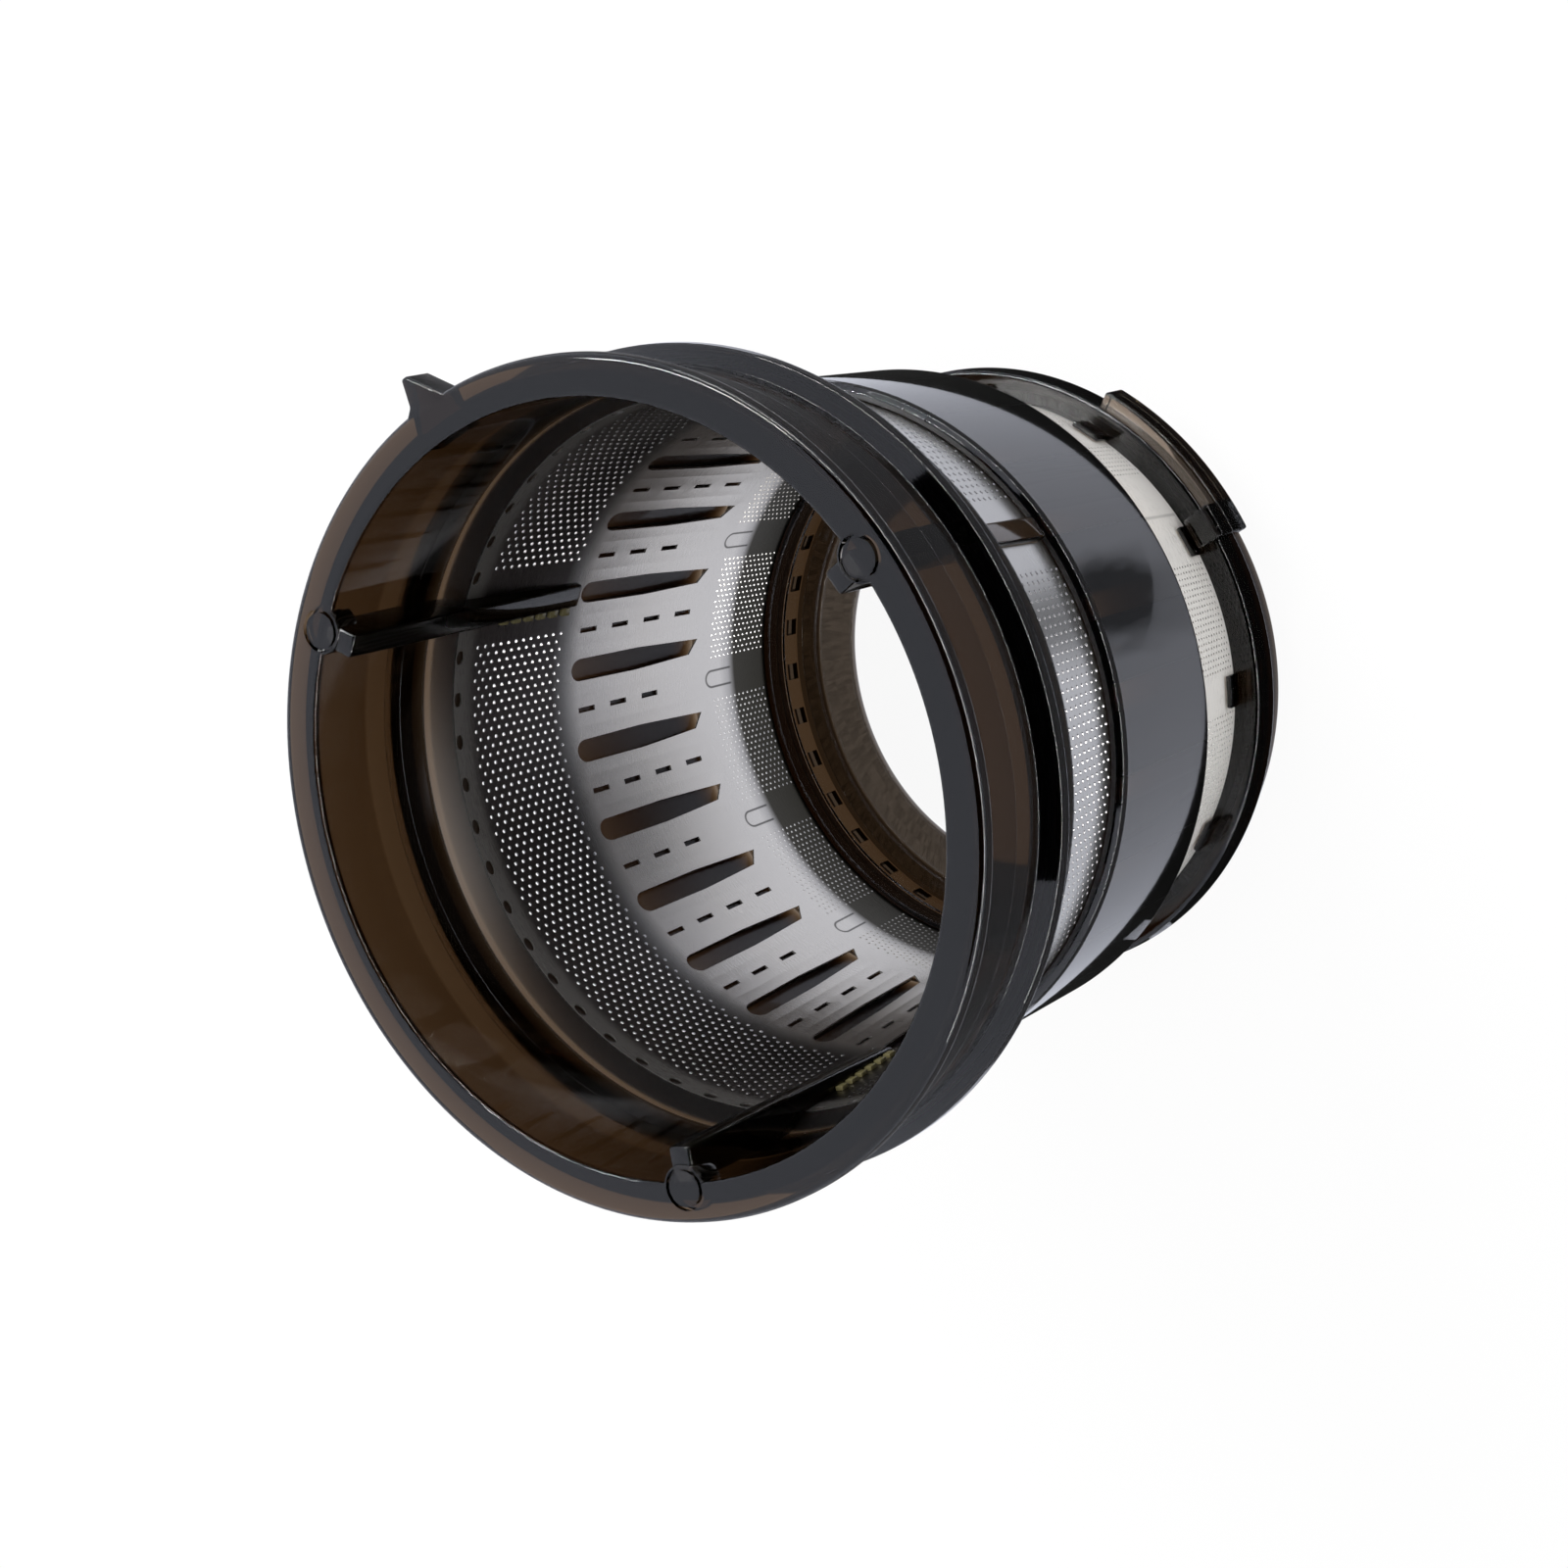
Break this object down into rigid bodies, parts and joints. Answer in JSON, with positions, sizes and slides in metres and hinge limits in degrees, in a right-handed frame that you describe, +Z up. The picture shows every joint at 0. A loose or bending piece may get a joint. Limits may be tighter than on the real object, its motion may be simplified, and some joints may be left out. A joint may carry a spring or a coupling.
{
  "type": "juicer mesh screen",
  "caption": "Cone-shaped juicer strainer: perforated steel sleeve with tall slots, held between a smoky plastic rim frame and a plastic base ring with an outlet.",
  "frame": {"origin": "centre of the outlet at the underside of the base ring, on the plane the screen stands on", "axes": "+Z up the cone's axis to the mouth, +X through the rib above the bayonet lug, millimetres in the source"},
  "size_m": [0.113, 0.1167, 0.0995],
  "materials": {
    "smoky_plastic": "gloss, smoky brown and see-through in thin walls",
    "mesh_steel": "satin rolled stainless sheet"
  },
  "bodies": {
    "root": {"rim_frame": "smoky_plastic", "mesh_sleeve": "mesh_steel", "base_ring": "smoky_plastic"}
  },
  "joints": []
}
